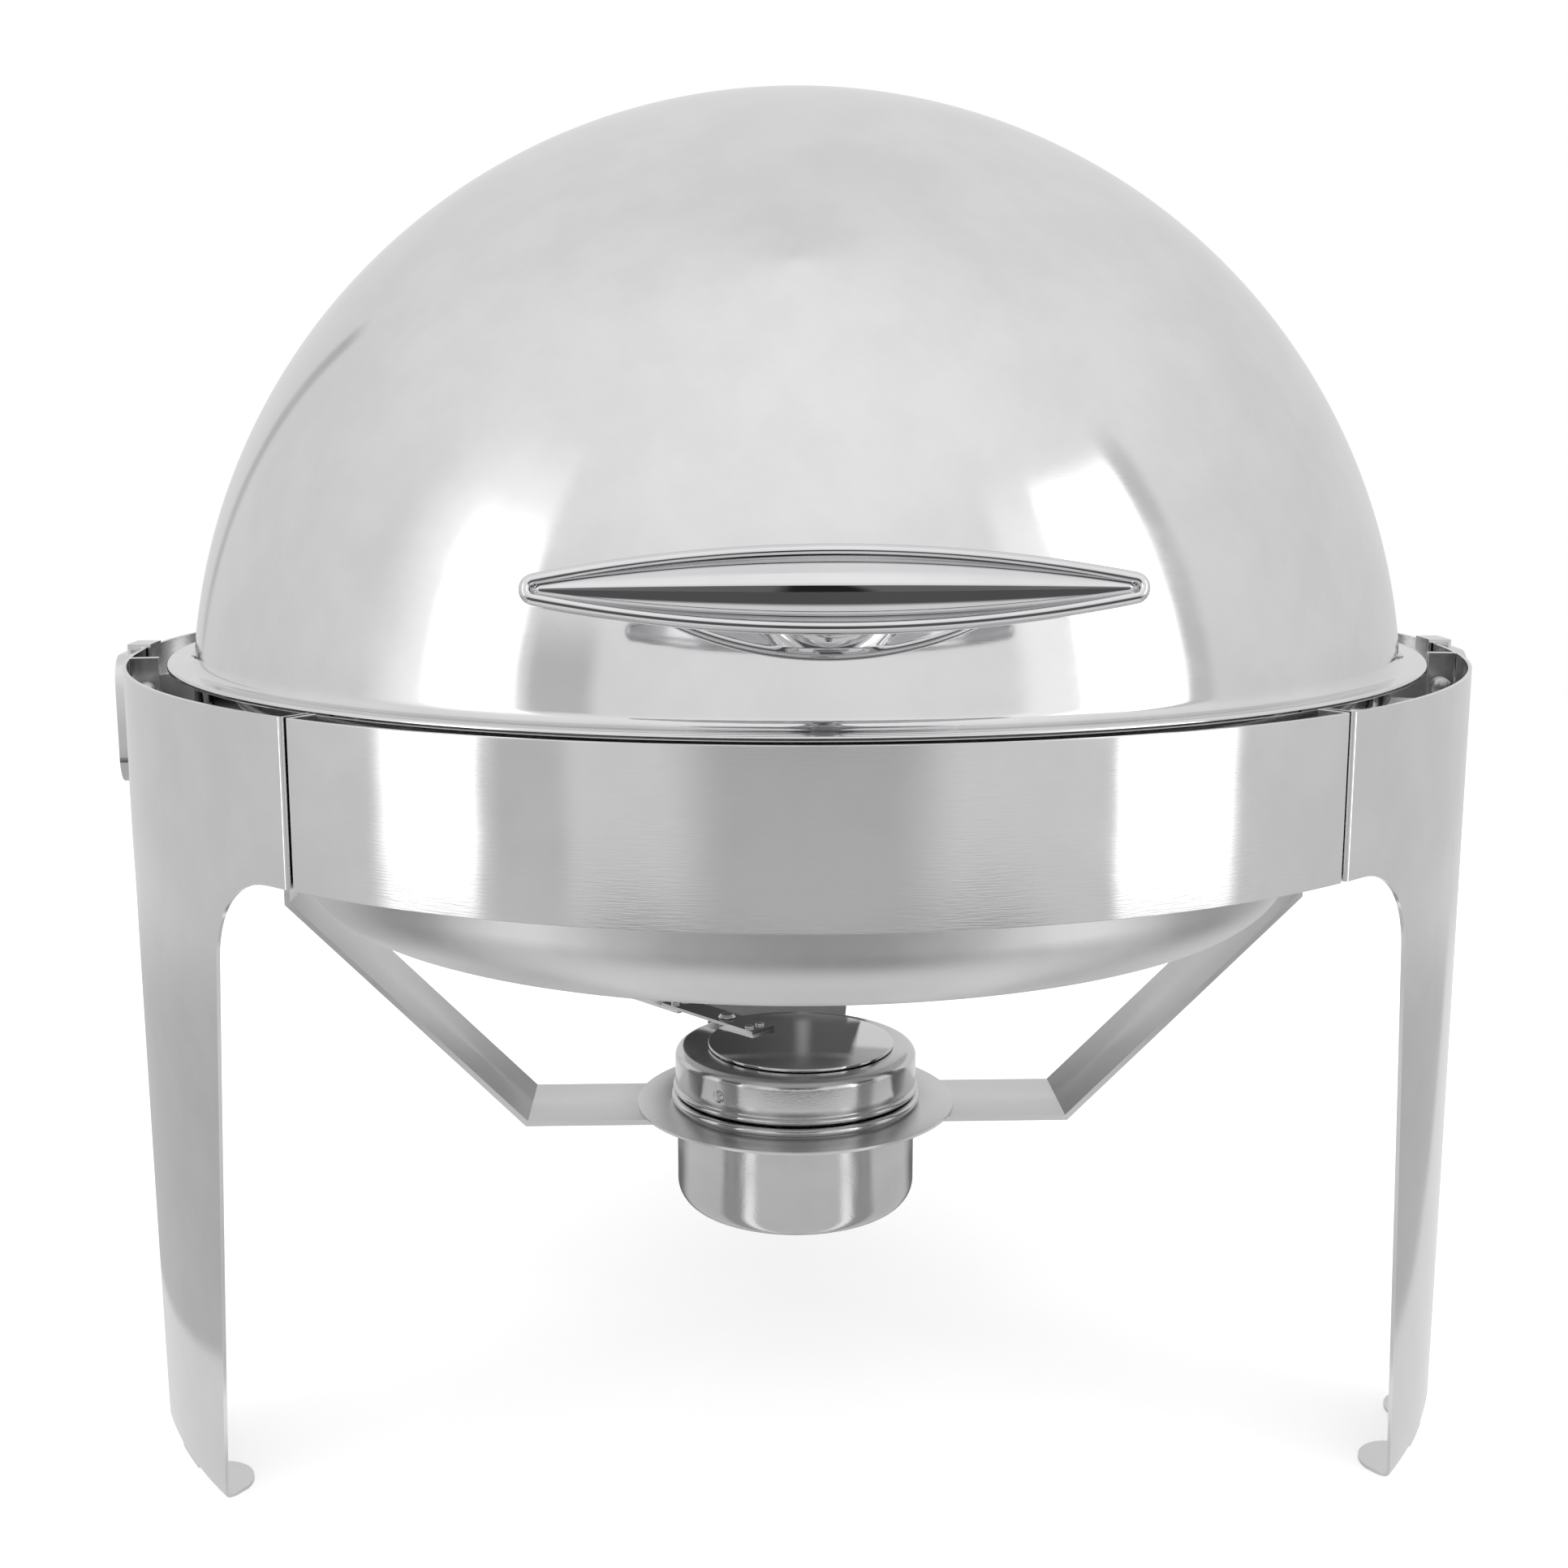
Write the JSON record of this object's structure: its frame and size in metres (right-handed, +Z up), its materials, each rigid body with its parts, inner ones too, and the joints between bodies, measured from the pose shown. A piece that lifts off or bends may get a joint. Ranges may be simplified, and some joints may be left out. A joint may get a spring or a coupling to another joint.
{
  "type": "roll top chafer",
  "caption": "Round buffet food warmer on a three-legged frame: a water pan, a food pan and a fuel burner under a domed cover that rolls back on side hinges.",
  "frame": {"origin": "on the floor, under the middle of the whole object's outer box; the dome's and pans' vertical axis stands 6.6 mm behind it, because the handle makes the box longer at the front", "axes": "+Z up, -Y towards the handle at the front, +X to the right seen from the front; the cover's hinge axis is parallel to X, 235 mm above the floor, 6.6 mm behind the origin"},
  "size_m": [0.4816, 0.4832, 0.448],
  "materials": {
    "band_steel": "semi-polished with a fine grain",
    "dome_steel": "mirror-polished stainless steel",
    "handle_chrome": "bright mirror polish",
    "bracket_steel": "plain bright rolled steel",
    "pan_steel": "satin, pressed",
    "burner_steel": "polished, spun and pressed",
    "fastener_steel": "bright zinc or steel",
    "nylon": "plain nylon"
  },
  "bodies": {
    "frame": {"front_skirt": "band_steel", "rear_left_skirt": "band_steel", "rear_right_skirt": "band_steel", "left_leg": "band_steel", "right_leg": "band_steel", "rear_leg": "band_steel", "joint_bolts": "fastener_steel", "joint_nuts": "fastener_steel", "pan_bracket_left": "bracket_steel", "pan_bracket_right": "bracket_steel", "support_ring": "bracket_steel", "burner_arm_left": "bracket_steel", "burner_arm_right": "bracket_steel", "burner_ring": "burner_steel", "hinge_cover_left": "bracket_steel", "hinge_cover_right": "bracket_steel", "hinge_bracket_left": "bracket_steel", "hinge_bracket_right": "bracket_steel", "hinge_bolts": "fastener_steel", "hinge_nuts": "fastener_steel", "hinge_bushes": "fastener_steel", "hinge_spacers": "fastener_steel", "hinge_washers": "nylon"},
    "lid": {"dome_cover": "dome_steel", "hinge_ear_left": "bracket_steel", "hinge_ear_right": "bracket_steel", "handle_bar": "handle_chrome", "handle_stem": "handle_chrome", "handle_screws": "fastener_steel"},
    "water_pan": {"water_pan": "pan_steel"},
    "food_pan": {"food_pan": "pan_steel"},
    "burner_cup": {"burner_cup": "burner_steel"},
    "burner_collar": {"burner_collar": "burner_steel", "collar_rivets": "fastener_steel", "snuffer_pivot": "fastener_steel"},
    "snuffer": {"snuffer_disc": "burner_steel", "snuffer_arm": "burner_steel", "snuffer_grip": "burner_steel", "snuffer_rivets": "fastener_steel"}
  },
  "joints": [
    {"name": "lid_roll", "type": "hinge", "parent": "frame", "child": "lid", "pos_m": [0, 0.00657, 0.235], "axis": [-1, 0, 0], "range_deg": [0, 90]},
    {"name": "water_pan_lift", "type": "slide", "parent": "frame", "child": "water_pan", "axis": [0, 0, 1], "range_m": [0, 0.012]},
    {"name": "food_pan_lift", "type": "slide", "parent": "water_pan", "child": "food_pan", "axis": [0, 0, 1], "range_m": [0, 0.03]},
    {"name": "burner_cup_lift", "type": "slide", "parent": "frame", "child": "burner_cup", "axis": [0, 0, 1], "range_m": [0, 0.015]},
    {"name": "collar_lift", "type": "slide", "parent": "burner_cup", "child": "burner_collar", "axis": [0, 0, 1], "range_m": [0, 0.01]},
    {"name": "snuffer_swing", "type": "hinge", "parent": "burner_collar", "child": "snuffer", "pos_m": [-0.02587, 0.03333, 0.103], "axis": [0, 0, 1], "range_deg": [0, 100]}
  ]
}
